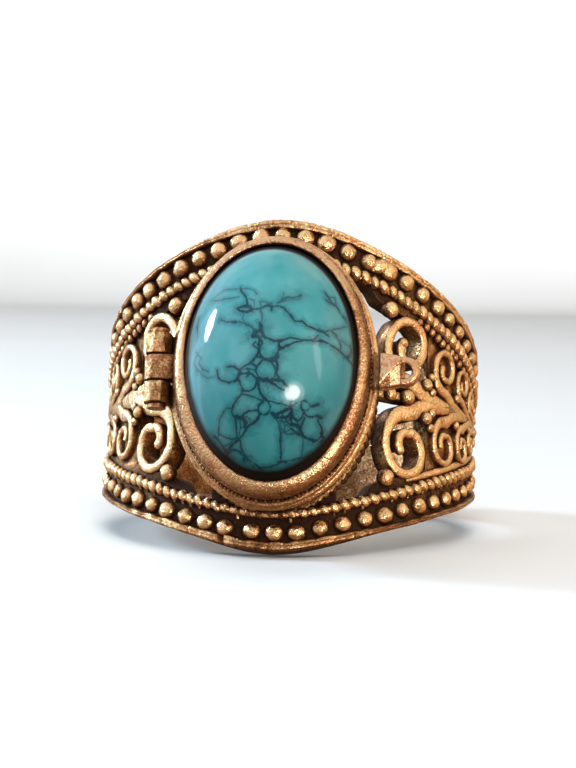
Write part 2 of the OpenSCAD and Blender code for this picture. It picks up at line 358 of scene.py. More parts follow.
def edge_rims(shape):
    """The raised border along both edges, worn flat and nicked, with the joint in the lower one."""
    rng = random.Random(11)
    reach, step = BORDER_END + BORDER_FADE, 0.4
    joint_at, joint_w, joint_depth = -14.5, 0.9, 0.75
    teeth_from, teeth_to, tooth_step, tooth_depth = -7, 13, 2.4, 0.05
    for end in (1, -1):
        marks = nicks(rng, 60 if end > 0 else 34, reach)
        rings = []
        for i in range(int(2 * reach / step) + 1):
            a = i * step - reach
            edge = edge_height(a)
            cut = sum(d * max(0, 1 - ((a - at) / w) ** 2) for at, w, d in marks if abs(a - at) < w)
            if end > 0 and teeth_from < a < teeth_to:
                cut += tooth_depth * max(0, sin(2 * pi * a / tooth_step)) ** 3
            rise = RIM_RISE * max(border(a), 0.05)
            if end < 0:
                rise *= 1 - joint_depth * max(0, 1 - ((a - joint_at) / joint_w) ** 2)
            p = on_band(a, SHEET_R, end * edge)
            top = SHEET_R + rise - cut * 0.8 + grain(p, 0.8, 0.04) * border(a)
            out = edge + grain(p, 1.8, 0.04) - cut * 0.5
            inn = edge - rim_width(a, end) - grain(p, 0.6, 0.07)
            line = lerp(out, inn, 0.5) + grain(p, 0.9, 0.05)
            section = [(SHEET_R - 0.3, out - 0.02), (lerp(SHEET_R, top, 0.5), out + 0.01),
                       (top - 0.1, out - 0.01), (top - 0.02, out - 0.07), (top, lerp(out, line, 0.7)),
                       (top - 0.03, line), (top - 0.01, lerp(line, inn, 0.4)), (top - 0.04, inn + 0.06),
                       (top - 0.12, inn + 0.01), (SHEET_R + 0.02, inn - 0.03), (SHEET_R - 0.3, inn - 0.03)]
            rings.append([on_band(a, r, end * z) for r, z in section])
        rubbed = [0.45, 0.6, 0.75, 0.85, 0.9, 0.6, 0.85, 0.8, 0.55, 0.2, 0.0]
        # The lower rim is darker than the upper one: painted shade on its downward face.
        shape.sweep(rings, rubbed if end > 0 else [0.75 * w for w in rubbed])


def strut(shape, centres, radius):
    """A thin round rod along points on the band."""
    rings = []
    for i, c in enumerate(centres):
        ahead = (centres[min(i + 1, len(centres) - 1)] - centres[max(i - 1, 0)]).normalized()
        out = Vector((c.x, c.y, 0)).normalized()
        out = (out - ahead * out.dot(ahead)).normalized()
        across = ahead.cross(out)
        rings.append([c + radius * (cos(t) * out + sin(t) * across) for t in turns(8)])
    shape.sweep(rings, height_wear(SHEET_R - 0.05, SHEET_R + 0.22, 0.05, 0.9))


def blob(shape, centre, axes, wear_and_shade, sides=12, rows=8, reach=None):
    """An ellipsoid on three half axes, the first of which points outwards. With a reach it stays open."""
    rings = []
    for i in range(1, rows):
        lean = pi * i / rows
        flat = [cos(t) * axes[1] + sin(t) * axes[2] for t in turns(sides)]
        ring = [cos(lean) * axes[0] + sin(lean) * f for f in flat]
        rings.append([centre + d * (reach(d) if reach else 1) for d in ring])
    shape.sweep(rings, wear_and_shade, capped=not reach)


def bead_rails(shape):
    """The beaded wire along each rail, on its low bed, with the small struts that tie it to the granules."""
    rng = random.Random(31)
    step, slant, strut_len, upper_size, rubbed_and_shaded_at = 0.061, 0.35, 0.42, 1.1, -4.5
    for end in (1, -1):
        upper = end > 0
        angles = range(-RAILS_TO, RAILS_TO + 1)
        bed = [(arc(a), end * (rail_height(a) - ROPE_DROP)) for a in angles]
        halves = [lerp(0.24, 0.3, smooth(12, 40, a)) if upper else 0.24 for a in angles]
        wire(shape, bed, halves, SHEET_R + 0.27, SHEET_R - 0.2, 0.2)
        a = -RAILS_TO
        while a < RAILS_TO:
            here = on_band(a, SHEET_R + 0.1, end * (rail_height(a) - ROPE_DROP))
            ahead = on_band(a + 0.1, SHEET_R + 0.1, end * (rail_height(a + 0.1) - ROPE_DROP)) - here
            along, out = ahead.normalized(), on_band(a, 1, 0)
            across = along.cross(out)
            # In the lower rope's middle, under the box, the beads are smaller, worn down, and darker: painted
            # shade.
            kept_and_lit = 1 if upper else smooth(7, 11, abs(a - rubbed_and_shaded_at))
            size = rng.uniform(0.95, 1.15) * (upper_size if upper else 1.0) * lerp(0.75, 1, kept_and_lit)
            centre = here + across * rng.uniform(-0.04, 0.04)
            axes = (out * 0.31 * size, (along + slant * across) * 0.33 * size, across * 0.33 * size)
            wear_and_shade = height_wear(SHEET_R - 0.05, SHEET_R + 0.3, 0.15 * kept_and_lit, lerp(0.4, 1, kept_and_lit))
            blob(shape, centre, axes, wear_and_shade)
            if rng.random() < (0.85 if not upper and a < -20 else 0.3):
                tip = here + Vector((0, 0, end)) * strut_len + along * rng.uniform(-0.06, 0.06)
                bent = [here - out * 0.02, lerp(here, tip, 0.5) + out * 0.04, tip - out * 0.06]
                strut(shape, bent, rng.uniform(0.07, 0.11))
            a += step * rng.uniform(0.93, 1.07) / ahead.length


def granule(shape, a, z, r, rng, centre_r, stretch=1.0):
    """A soldered ball, rubbed flat and dented on top by a few planes."""
    sides, rows, dents = 20, 12, 7
    out, along, up = on_band(a, 1, 0), on_band(a + 90, 1, 0), Vector((0, 0, 1))
    planes = []
    for _ in range(dents):
        lean, turn = rng.uniform(0, 0.95), rng.uniform(0, 2 * pi)
        planes.append((cos(lean) * out + sin(lean) * (cos(turn) * along + sin(turn) * up),
                       rng.uniform(0.86, 0.98)))
    centre = on_band(a, centre_r, z)

    def reach(d):
        uncut = min([1.0] + [dist / d.dot(n) for n, dist in planes if d.dot(n) > dist])
        return r * (uncut + grain(centre + d, 0.5, 0.035))

    base = len(shape.points)
    wear_and_shade = height_wear(centre_r - 0.15 * r, centre_r + 0.75 * r, 0.06)
    blob(shape, centre, (out, stretch * along, up), wear_and_shade, sides, rows, reach)
    top = min(dist / out.dot(n) for n, dist in planes + [(out, 1.0)])
    shape.fan(base, sides, centre + out * r * top, 0.9)
    shape.fan(base + (rows - 2) * sides, sides, centre - out * r, 0.0)


def row_granules(shape):
    """The two rows of granules, with the two that melted together in the upper one."""
    rng = random.Random(5)
    for end in (1, -1):
        for i in range(-GRANULES_A_SIDE, GRANULES_A_SIDE + 1):
            a = i * GRANULE_STEP + rng.uniform(-0.25, 0.25)
            if end < 0:
                a += (BREAK_RIGHT if a > ROW_BREAK_AT else BREAK_LEFT) * smooth(75, 35, abs(a))
            wide = lerp(1.0, 0.82, smooth(35, 80, abs(a)))
            r = (GRANULE_R if end > 0 else LOWER_GRANULE_R) * wide * rng.uniform(0.95, 1.05)
            z = end * (row_height(a) + rng.uniform(-0.05, 0.05))
            granule(shape, a, z, r, rng, SHEET_R + 0.02, rng.uniform(0.95, 1.1))
    granule(shape, MELTED_AT, row_height(MELTED_AT) + 0.02, 0.52, rng, SHEET_R + 0.02, 1.7)


def stem_reach(v):
    return v[1] / v[3] / sin(radians(-STEM_FROM))


def volute_radius(v, a):
    if a > LOOP_FROM:
        return 1 + (stem_reach(v) - 1) * ((a - LOOP_FROM) / (STEM_FROM - LOOP_FROM)) ** STEM_BEND
    if a > CURL_FROM:
        return 1
    if a > CURL_IN:
        return 1 - (1 - CURL_R) * ((CURL_FROM - a) / (CURL_FROM - CURL_IN)) ** CURL_BEND
    return CURL_R


def wire_half(v, a):
    if a > WIDER_FROM:
        share = 1 + (STEM_WIDER - 1) * min(1, (a - WIDER_FROM) / WIDER_OVER)
    elif a > CURL_FROM:
        share = 1
    else:
        share = 1 - (1 - TIP_NARROWER) * (CURL_FROM - a) / (CURL_FROM - CURL_TO)
    return v[4] / 2 * share


def wire(shape, path, halves, top=WIRE_TOP, bottom=BORE_R + 0.02, crown=0.17):
    """A wire with a rounded top along a path of (length round the band, height), as deep as the sheet."""
    rings = []
    for i, (e, z) in enumerate(path):
        before, after = path[max(i - 1, 0)], path[min(i + 1, len(path) - 1)]
        along = Vector((after[0] - before[0], after[1] - before[1])).normalized()
        half = halves[i]
        round_h = min(crown, half)
        high = top + grain((e, z, 3.0), 0.8, 0.04) + grain((e, z, 8.0), 0.25, 0.025)
        half *= 1 + grain((e, z, 5.0), 0.5, 0.14)
        section = [(-half, bottom)]
        section += [(-half * cos(t), high - round_h + round_h * sin(t))
                    for t in (pi * k / 8 for k in range(9))]
        section += [(half, bottom)]
        rings.append([on_band(angle_of(e - along.y * u), r, z + along.x * u) for u, r in section])
    shape.sweep(rings, height_wear(top - 0.5, top - 0.03, 0.0))


def volute_path(v, mirror_x, mirror_z):
    """Points and half widths of one volute's wire, from its stem's root to its tip."""
    angles = range(STEM_FROM, CURL_TO - 1, -6)
    path = []
    for a in angles:
        radius, t = volute_radius(v, a), radians(a)
        path.append((mirror_x * (arc(v[0]) + radius * v[2] * cos(t)),
                     mirror_z * (v[1] + radius * v[3] * sin(t))))
    halves = [wire_half(v, a) for a in angles]
    root = path[0][0] + mirror_x * 0.25
    shares = [k / TAIL_POINTS for k in range(TAIL_POINTS)]
    tail = [(root + mirror_x * STEM_TAIL * (1 - share), 0.0) for share in shares]
    return tail + path, [lerp(TAIL_W, halves[0] * 0.8, share) for share in shares] + halves


def scroll_wires(shape):
    """The volutes of the openwork, each a little higher than the one nearer to the stone."""
    for mirror_x, mirror_z in QUARTERS:
        for i, v in enumerate(VOLUTES):
            path, halves = volute_path(v, mirror_x, mirror_z)
            wire(shape, path, halves, WIRE_TOP + 0.04 * i)


def scroll_granules(shape):
    """Single granules of the openwork, and the drops that end the big curls."""
    rng = random.Random(8)
    for mirror_x, mirror_z in QUARTERS:
        for a, z, r in LOOSE_GRANULES:
            granule(shape, mirror_x * a, mirror_z * z, r, rng, SHEET_R + 0.1)
        tip = volute_path(VOLUTES[0], mirror_x, mirror_z)[0][-1]
        granule(shape, angle_of(tip[0]), tip[1], 0.34 if mirror_z > 0 else 0.29, rng, SHEET_R - 0.08)
    for mirror_x in (1, -1):
        for a, r in ((42, 0.46), (35.6, 0.4)):
            granule(shape, mirror_x * a, 0, r, rng, SHEET_R - 0.02)
        granule(shape, mirror_x * 95.5, 0, 0.45, rng, SHEET_R + 0.05, 1.6)


def rail_strands(shape):
    """The teeth below the upper rope, the plain wire above the lower one at the right, and the low bars."""
    rng = random.Random(17)
    angles = range(STRAND_FROM, RAILS_TO + 1)
    path = [(arc(a), STRAND_DROP - rail_height(a)) for a in angles]
    halves = [lerp(0.1, 0.26, smooth(STRAND_FROM, STRAND_FROM + 9, a)) for a in angles]
    wire(shape, path, halves, SHEET_R + 0.14, SHEET_R - 0.3, 0.2)
    for mirror_x in (1, -1):
        a = STRAND_FROM + 4
        while a < RAILS_TO:
            z = rail_height(a) - STRAND_DROP + rng.uniform(-0.06, 0.02)
            out, along = on_band(mirror_x * a, 1, 0), on_band(mirror_x * a + 90, 1, 0)
            blob(shape, on_band(mirror_x * a, SHEET_R, z), (out * 0.26, along * 0.25, Vector((0, 0, 0.3))),
                 height_wear(SHEET_R - 0.05, SHEET_R + 0.28, 0.3, 0.85))
            a += rng.uniform(2.4, 3.2)
        bar = [(mirror_x * arc(a), 0) for a in range(24, 61)]
        wire(shape, bar, [0.25] * len(bar), SHEET_R - 0.12, crown=0.1)


def oval(a, b, w, n, flutes=0, depth=0.0):
    """Points of an oval, fluted or plain, at a distance w towards the stone's side. w may depend on x."""
    points = []
    for t in turns(n):
        d = depth * (1 - abs(cos(flutes * t / 2)) ** 0.7)
        x = (a - d) * cos(t)
        points.append(Vector((x, -(w(x) if callable(w) else w), (b - d) * sin(t))))
    return points


def box_wall(shape):
    """The box: a fluted wall, its mouth with a rolled edge, and the inside down to the band's sheet."""
    n = FLUTES * 8
    low = BOX_TOP - MOUTH_H

    def fluted(out, w, depth):
        return oval(BOX_A + out, BOX_B + out, w, n, FLUTES, depth)

    def mouth(inset, w):
        points = oval(BOX_A + MOUTH_OUT - inset, BOX_B + MOUTH_OUT - inset, w, n)
        for p in points:
            if abs(p.z) < HINGE_LEN / 2 + 0.2:
                p.x = max(p.x, -HINGE_CLEAR)
        return points

    rings = [fluted(0, w, FLUTE_DEPTH) for w in (round_finger(SHEET_R - 0.4), 11.2, 11.9, 12.6, low - 0.12)]
    rings += [fluted(0.02, low - 0.03, 0.05)]
    rings += [mouth(inset, w) for inset, w in (
        (0.3, low), (0.1, low + 0.06), (0.02, low + 0.14), (0.0, low + 0.22), (0.03, low + 0.3),
        (0.1, BOX_TOP - 0.05), (0.2, BOX_TOP), (0.4, BOX_TOP), (0.8, BOX_TOP), (0.88, BOX_TOP - 0.05))]
    rings += [fluted(-BOX_T, w, 0.0) for w in (BOX_TOP - 0.3, 12.5, 11.6, round_finger(SHEET_R - 0.1))]
    shape.sweep(rings, rise_wear(12.2, 13.5, 0.22, 0.9), closed=True)


def box_floor(shape):
    """The box's curved floor, which closes the windows under it."""
    a, b, n = BOX_A - 0.3, BOX_B - 0.3, 128
    shares = [0.01, 0.2, 0.4, 0.6, 0.8, 0.95, 1.0]
    rings = [oval(a * share, b * share, round_finger(BORE_R + 0.03), n) for share in shares]
    rings += [oval(a * share, b * share, round_finger(SHEET_R + 0.08), n) for share in reversed(shares)]
    shape.sweep(rings, lambda p: 0.3 + grain(p, 1.2, 0.15))


def box_collar(shape):
    """The scalloped collar round the box's foot, down to the band."""
    n = SCALLOPS * 10
    root = round_finger(SHEET_R - 0.3)
    rings = []
    for inset, w, depth in ((0, root, SCALLOP_DEPTH), (0, 10.75, SCALLOP_DEPTH), (0, 10.95, SCALLOP_DEPTH),
                            (0.06, 11.06, 0.9 * SCALLOP_DEPTH), (0.2, FOOT_TOP, SCALLOP_DEPTH / 2),
                            (FOOT_OUT + 0.2, FOOT_TOP - 0.02, 0), (FOOT_OUT + 0.2, root, 0)):
        rings.append(oval(BOX_A + FOOT_OUT - inset, BOX_B + FOOT_OUT - inset, w, n, SCALLOPS, depth))
    shape.sweep(rings, rise_wear(9.6, FOOT_TOP, 0.0, 0.55), closed=True)


def barrel(shape, low, high, rng):
    """One hammered knuckle, with the pin's hole through it."""
    sides, rows, facets = 48, 14, 8
    flats = [2 * pi * (k + rng.uniform(-0.15, 0.15)) / facets for k in range(facets)]
    tilts = [rng.uniform(-0.05, 0.05) for _ in flats]

    def round_hinge(r, t, z):
        return Vector((HINGE_X + r * cos(t), -HINGE_W + r * sin(t), z))

    def hammered(t, z, share):
        height = (z - low) / (high - low) - 0.5
        r = min([KNUCKLE_R] + [KNUCKLE_R * (0.93 + tilt * height) / max(0.2, cos(t - f))
                               for f, tilt in zip(flats, tilts)])
        return round_hinge((r + grain(round_hinge(r, t, z), 0.5, 0.008)) * share, t, z)

    profile = [(0.0, 0.9), (0.02, 0.96), (0.06, 1.0)]
    levels = [(low + d, s) for d, s in profile]
    levels += [(lerp(low + 0.06, high - 0.06, k / rows), 1.0) for k in range(1, rows)]
    levels += [(high - d, s) for d, s in reversed(profile)]
    rings = [[hammered(t, z, s) for t in turns(sides)] for z, s in levels]
    rings += [[round_hinge(PIN_R + 0.04, t, z) for t in turns(sides)] for z in (high, low)]

    def wear_and_shade(p):
        edge = smooth(-0.02, 0.07, min(p.z - low, high - p.z))
        return (0.68 + grain(p, 0.4, 0.16)) * lerp(0.15 if abs(p.z) < 1 else 0.6, 1, edge)

    shape.sweep(rings, wear_and_shade, closed=True)


def strip(shape, low, high, wear_and_shade):
    """A block between two corners, with bevelled long edges."""
    (x0, y0, z0), (x1, y1, z1) = low, high
    c = 0.08
    section = [(y0 + c, z0), (y1 - c, z0), (y1, z0 + c), (y1, z1 - c),
               (y1 - c, z1), (y0 + c, z1), (y0, z1 - c), (y0, z0 + c)]
    shape.sweep([[Vector((x, y, z)) for y, z in section] for x in (x0, lerp(x0, x1, 0.5), x1)], wear_and_shade)


def hinge_ears(shape):
    """The box's two knuckles with their leaves."""
    rng = random.Random(21)
    leaf = HINGE_W - KNUCKLE_R
    for end in (1, -1):
        low, high = sorted((end * (LID_KNUCKLE_LEN / 2 + KNUCKLE_GAP), end * HINGE_LEN / 2))
        barrel(shape, low, high, rng)
        strip(shape, (HINGE_X + 0.15, -leaf - 0.42, low + 0.02), (0.3 - BOX_A, -leaf, high - 0.02),
              lambda p: 0.35)


def hinge_barrel(shape):
    """The lid's middle knuckle with its leaf."""
    half = LID_KNUCKLE_LEN / 2
    barrel(shape, -half, half, random.Random(22))
    inner, foot = 0.3 - FLANGE_A, LID_BOTTOM + 0.05
    section = [(HINGE_X + 0.02, HINGE_W + KNUCKLE_R * 0.93), (HINGE_X + 0.35, HINGE_W + KNUCKLE_R * 0.9),
               (lerp(HINGE_X, inner, 0.7), LID_TOP + 0.2), (inner, LID_TOP + 0.12), (inner, foot),
               (HINGE_X, foot)]
    ends = [(-half + 0.01, 0.06), (-half + 0.07, 0.0), (0, 0.0), (half - 0.07, 0.0), (half - 0.01, 0.06)]
    rings = [[Vector((x, -(h - inset if h > foot else h), z)) for x, h in section] for z, inset in ends]
    shape.sweep(rings, lambda p: 0.5 + grain(p, 0.4, 0.3))


FLANGE = [  # how far inside the outline, height, wear
    (0.5, 0.0, 0.5), (0.12, 0.0, 0.7), (0.03, 0.05, 0.9), (0.0, 0.1, 1.0), (0.02, 0.15, 0.8),
    (0.07, 0.18, 0.1), (0.07, 0.21, 0.1), (0.02, 0.24, 0.8), (0.0, 0.3, 1.0), (0.03, 0.37, 0.95),
    (0.1, 0.41, 0.7), (0.5, FLANGE_T, 0.1)]


def lid_plate(shape):
    """The lid's plate: a flange with a groove round its edge."""
    n = 384
    shape.sweep([oval(FLANGE_A - i, FLANGE_B - i, LID_BOTTOM + h, n) for i, h, _ in FLANGE], lambda p: 0)
    shape.wear_and_shade = [w for _, _, w in FLANGE for _ in range(n)]


BEZEL = [  # how far outside the stone, height above the lid's plate, wear
    (0.05, -0.02, 0.0), (0.4, -0.02, 0.05), (0.4, 0.06, 0.1), (0.345, 0.12, 0.05), (0.33, 0.22, 0.1),
    (0.34, 0.32, 0.15), (0.42, 0.4, 0.6), (0.455, 0.48, 0.85), (0.45, 0.58, 0.6), (0.43, 0.72, 0.5),
    (0.405, 0.88, 0.52), (0.37, 1.04, 0.6), (0.32, 1.18, 0.75), (0.25, 1.3, 0.95), (0.16, 1.39, 1.0),
    (0.06, 1.44, 1.0), (-0.03, 1.43, 0.95), (-0.1, 1.38, 0.6), (-0.13, 1.3, 0.15), (-0.08, 1.15, 0.0),
    (0.03, 0.95, 0.0), (0.05, 0.5, 0.0)]


def bezel(shape):
    """The wall that holds the stone, with its lip leaning over the edge, and painted shade on both flanks,
    darker on the right.
    """
    rings = []
    for turn in turns(384):
        t = -turn
        ring = []
        broad = smooth(0.45, -0.6, sin(t)) * lerp(0.75, 1, smooth(0.6, -0.6, cos(t)))
        for out, h, _ in BEZEL:
            pressed = (0.05 + 0.28 * broad) * smooth(0.3, -0.03, out) * smooth(0.95, 1.2, h)
            out -= pressed
            h += 0.3 * pressed
            p = Vector(((STONE_A + out) * cos(t), -LID_TOP - h, (STONE_B + out) * sin(t)))
            lift = grain(p, 1.6, 0.035) * smooth(0.9, 1.4, h)
            press = grain(p + Vector((9, 0, 0)), 0.9, 0.02) * smooth(0.3, 0.6, h)
            ring.append(p + Vector((press * cos(t), -lift, press * sin(t))))
        rings.append(ring)
    shape.sweep(rings, [w for _, _, w in BEZEL], closed=True)
    # Darker on both flanks, most on the right: painted shade.
    shape.wear_and_shade = [w * lerp(1, 0.76 if p.x > 0 else 0.9, smooth(3.2, 4.9, abs(p.x)))
                  for p, w in zip(shape.points, shape.wear_and_shade)]


def bezel_milgrain(shape):
    """The line of fine beads in the groove round the bezel's foot."""
    rng = random.Random(3)
    gap = 0.235
    a, b = STONE_A + 0.46, STONE_B + 0.46
    t = 0.0
    while t < 2 * pi:
        h = 0.12 + rng.uniform(-0.02, 0.02)
        r = 0.11 * rng.uniform(0.75, 1.15)
        rub_and_shade = rng.choice((0.25, 0.6, 0.9, 1.0))
        axes = (Vector((0, -r, 0)), Vector((r, 0, 0)), Vector((0, 0, r)))
        blob(shape, Vector((a * cos(t), -LID_TOP - h, b * sin(t))), axes, lambda p: rub_and_shade, 8, 6)
        t += gap / hypot(a * sin(t), b * cos(t))


def lid_tongue(shape):
    """The wedge that a fingernail lifts: a high facet, a low one, and the step that half closes the eye."""
    low = -LID_BOTTOM
    rings = []
    for x, narrowed, rise in (
            (FLANGE_A - 0.12, 1, TONGUE_ROOT_H), (WEDGE_FROM - 0.06, 1, TONGUE_ROOT_H),
            (WEDGE_FROM, 1, TONGUE_H), (lerp(WEDGE_FROM, WEDGE_END, 0.5), 0.95, TONGUE_H),
            (WEDGE_END - 0.1, 0.86, TONGUE_H - 0.1), (WEDGE_END, 0.8, TONGUE_H - 0.2)):
        w = TONGUE_W / 2 * narrowed
        ridge = lerp(-0.7, 0.6, max(0, x - WEDGE_FROM) / (WEDGE_END - WEDGE_FROM)) * w
        top = low - rise
        high = max(low - EYE_T, top)
        section = [(low, -w + 0.06), (low, w - 0.06), (low - 0.06, w), (high + 0.1, w),
                   (high + 0.02, w - 0.08), (top + 0.03, ridge + 0.12), (top, ridge),
                   (top + 0.03, ridge - 0.12), (high - 0.04, -w + 0.1), (high + 0.1, -w), (low - 0.06, -w)]
        rings.append([Vector((x, y, z)) for y, z in section])
    shape.sweep(rings, rise_wear(LID_BOTTOM + 0.1, LID_BOTTOM + 0.5, 0.4, 0.95))
    half, top = EYE_HOLE_R + 0.1, low + 0.03 - EYE_T
    strip(shape, (WEDGE_END - 0.4, top, -half), (STEP_END, low - 0.02, half), lambda p: 0.5)


def tongue_eye(shape):
    """The ring at the tongue's end: a thick round eye with a hole."""
    x = FLANGE_A + TONGUE_LEN
    profile = [(EYE_HOLE_R, 0.08), (EYE_HOLE_R + 0.05, 0.0), (EYE_R - 0.1, 0.0), (EYE_R - 0.02, 0.08),
               (EYE_R, 0.25), (EYE_R - 0.02, 0.4), (EYE_R - 0.09, 0.52), (EYE_R - 0.2, 0.59),
               (EYE_HOLE_R + 0.16, EYE_T), (EYE_HOLE_R + 0.06, 0.56), (EYE_HOLE_R + 0.01, 0.48),
               (EYE_HOLE_R, 0.3)]
    rings = [[Vector((x + r * cos(t), -LID_BOTTOM - h, r * sin(t))) for r, h in profile]
             for t in turns(40)]
    shape.sweep(rings, rise_wear(LID_BOTTOM, LID_BOTTOM + 0.5, 0.2, 1.0), closed=True)


def dome(share):
    """Half width and height of the stone at a share of its profile, from the base (0) to the top (1)."""
    turn = share * pi / 2
    across = cos(turn)
    return across, (1 - across ** 2) ** (1 / DOME_POWER)


# The stone's dark veins, charted: width, darkness, and the picture points that each one passes
VEINS = """
0.9 0.6 212,300 218,295 224,290 234,289 241,289 248,288 254,290 257,294
1.1 0.9 240,288 243,292 246,298 247,304 246,307
1.0 0.6 212,302 220,300 228,299 233,298 239,297
1.5 1.0 237,308 240,311 246,312 252,310 250,307 245,306 240,307
1.1 0.8 251,309 258,309 263,307 268,305 272,306 271,310
0.9 0.6 261,308 260,301 266,302 272,303 272,307
0.8 0.5 247,298 255,300 254,309
1.5 0.7 277,303 283,299 287,297 293,298 301,296
1.1 0.5 281,302 288,300 295,300 301,299
0.8 0.5 283,297 284,293
1.0 0.9 272,307 278,306 284,308 289,314 295,321 301,321 308,326 314,329 319,331
0.9 0.7 319,329 325,331 331,330 336,329 342,328 349,326 354,322
0.8 0.6 339,312 345,321 349,327 350,334 353,340
1.8 0.8 319,331 324,332 328,335
1.0 0.9 313,340 318,341 324,342 330,344 335,348 341,352 345,356 349,361 353,366
0.9 0.8 331,331 336,335 339,341 341,347 340,352
1.0 0.8 325,292 328,297 331,302 335,305 338,309 341,314 346,320
0.8 0.6 329,297 335,298 336,305
1.2 0.7 326,300 331,304 336,306
1.2 0.8 350,346 351,352 349,357 345,357
1.1 0.8 221,320 226,322 231,322 236,322
1.1 0.7 240,322 246,324 252,327 256,330
0.8 0.5 245,312 243,318 244,323
1.0 0.6 260,310 262,315 262,320 260,325
1.9 0.9 260,323 261,329 257,332 253,336
1.7 0.9 261,329 262,335 266,338
1.2 0.9 265,337 270,339 275,341 281,341
1.6 0.9 253,337 258,336 262,341
1.5 0.9 260,340 259,346 258,352 256,357 252,361
1.0 0.9 280,342 286,339 290,337 296,339 302,340 309,340 314,339 318,336
1.2 0.9 279,342 280,349
1.2 0.9 280,348 288,346 295,343 302,341
1.0 0.8 263,342 260,348 260,354 264,358 270,359 275,357 278,352 279,348
1.5 0.8 255,358 261,356 264,359 270,361 276,360 277,355
1.0 0.8 263,360 258,365 256,371 259,377 264,380 270,380 275,377 276,371 274,365 271,361
1.2 0.9 276,358 277,366 277,373 279,380
1.2 0.8 253,361 248,364 242,368 239,371
1.0 0.8 241,369 247,369 252,369 257,370
1.1 0.8 250,363 254,365 257,367
1.1 0.9 217,371 218,377 222,381 229,382 235,381 239,377 240,371 236,368 231,366 227,367
1.4 0.9 237,380 239,376 241,373
1.1 0.9 240,374 246,373 252,374 256,378 257,382 255,387 249,391 243,391 240,386 239,380
0.8 0.5 200,372 203,376 208,378 214,377 217,373
1.0 0.5 200,351 196,357 194,364 197,370 201,372
1.9 1.0 258,378 263,380 269,381 275,380 279,380
1.2 0.9 278,379 282,381 286,385
1.2 0.9 268,381 273,384 278,387 284,390
1.4 1.0 258,382 259,388 261,393 264,398 267,401
1.1 0.8 240,390 242,394 249,396 257,399 263,401
1.1 0.9 266,401 273,402 279,403 285,405 290,407
1.1 0.9 263,402 259,406 259,412 263,415 268,413 270,407 268,402
1.1 0.9 241,395 236,400 233,406 231,412 234,417 239,419
1.3 0.9 241,418 245,413 249,411 254,411 259,411
1.0 0.7 232,408 226,409 222,413 220,419 219,426 218,432 219,437
2.0 1.0 236,417 240,418 243,417
1.9 0.9 243,419 246,423 245,427
1.3 0.9 246,427 252,424 256,421 259,417 260,413
1.0 0.8 235,419 236,425 236,431 237,438
0.9 0.7 240,421 241,427 239,433 240,438
1.1 0.8 247,428 244,433 241,438 238,440
1.1 0.8 219,434 225,437 231,439 237,438 241,438
1.7 0.8 215,436 220,442 224,448 228,456
1.2 0.9 238,440 234,443 231,447 229,452 227,457
1.0 0.8 240,440 241,446 243,452 246,458 251,462 257,466 262,470
1.0 0.8 229,450 235,450 242,452
0.8 0.5 246,458 250,456 256,462
1.0 0.8 270,413 275,417 279,424 280,432 280,441 281,450 281,459
1.6 0.8 279,462 282,461 286,462
1.8 0.9 271,413 276,415 281,412 286,410 290,409
1.8 1.0 275,417 280,418 286,417 290,414
1.2 0.9 291,405 291,412 290,419 293,424
1.3 0.8 280,421 287,422 293,424
2.2 1.0 291,425 295,425 299,427
1.0 0.7 281,421 281,428 284,432 290,430
1.0 0.8 291,407 296,404 300,402 305,401 309,404 313,406
1.8 1.0 312,406 318,405
1.0 0.8 301,403 302,409 307,411 310,407 309,403
1.1 0.9 292,409 292,416 297,421 302,418 304,412 301,407
1.2 0.9 303,410 306,416 312,417 318,416
1.9 1.0 318,417 322,418
1.1 0.9 304,418 301,423 301,430 304,436 309,439 315,441 319,439 323,434 321,427 318,420
1.3 0.9 291,429 296,433 301,435 306,438
1.2 0.8 298,427 301,431 299,435
0.9 0.6 302,437 303,443 303,449
1.5 0.9 321,433 324,439 320,442
1.0 0.7 199,318 197,326 198,335 196,342
0.9 0.5 331,331 334,337 340,340 346,344 350,347
1.0 0.7 219,440 224,446 229,445 233,440
1.1 0.8 229,453 233,450 239,451 243,456 245,462
1.0 0.6 243,456 248,462 254,467
1.1 0.7 260,468 268,467 276,465 283,461 292,460 302,458 309,455
0.9 0.6 303,449 302,454 301,458
1.0 0.8 283,411 283,416 287,420 291,420 293,416
1.0 0.7 282,422 285,425 289,425 292,421
1.0 0.7 285,425 284,430 287,434 293,434 298,431
1.1 0.7 246,417 250,420 250,425
1.2 0.8 254,331 256,336 260,338 264,334
1.1 0.8 256,342 253,345 258,349
1.1 0.8 247,368 250,373 247,376
0.9 0.6 196,352 201,358 199,364 203,370 208,372
"""


def stone_point(px, py):
    """The point of the dome that the camera sees at a point of the picture."""
    right, up, back = camera_axes()
    ray = (right * (px - FRAME_W_PX / 2) - up * (py - FRAME_H_PX / 2) - back * FOCAL_PX).normalized()

    def inside(t):
        p = CAMERA_EYE + ray * t
        h = (-p.y - STONE_BOTTOM - STONE_FOOT_H) / (STONE_H - STONE_FOOT_H)
        return h <= 0 or (h < 1 and (p.x / STONE_A) ** 2 + (p.z / STONE_B) ** 2 < 1 - h ** DOME_POWER)

    near, step = 100.0, 0.25
    while not inside(near + step):
        near += step
    far = near + step
    for _ in range(16):
        middle = (near + far) / 2
        near, far = (near, middle) if inside(middle) else (middle, far)
    return CAMERA_EYE + ray * far


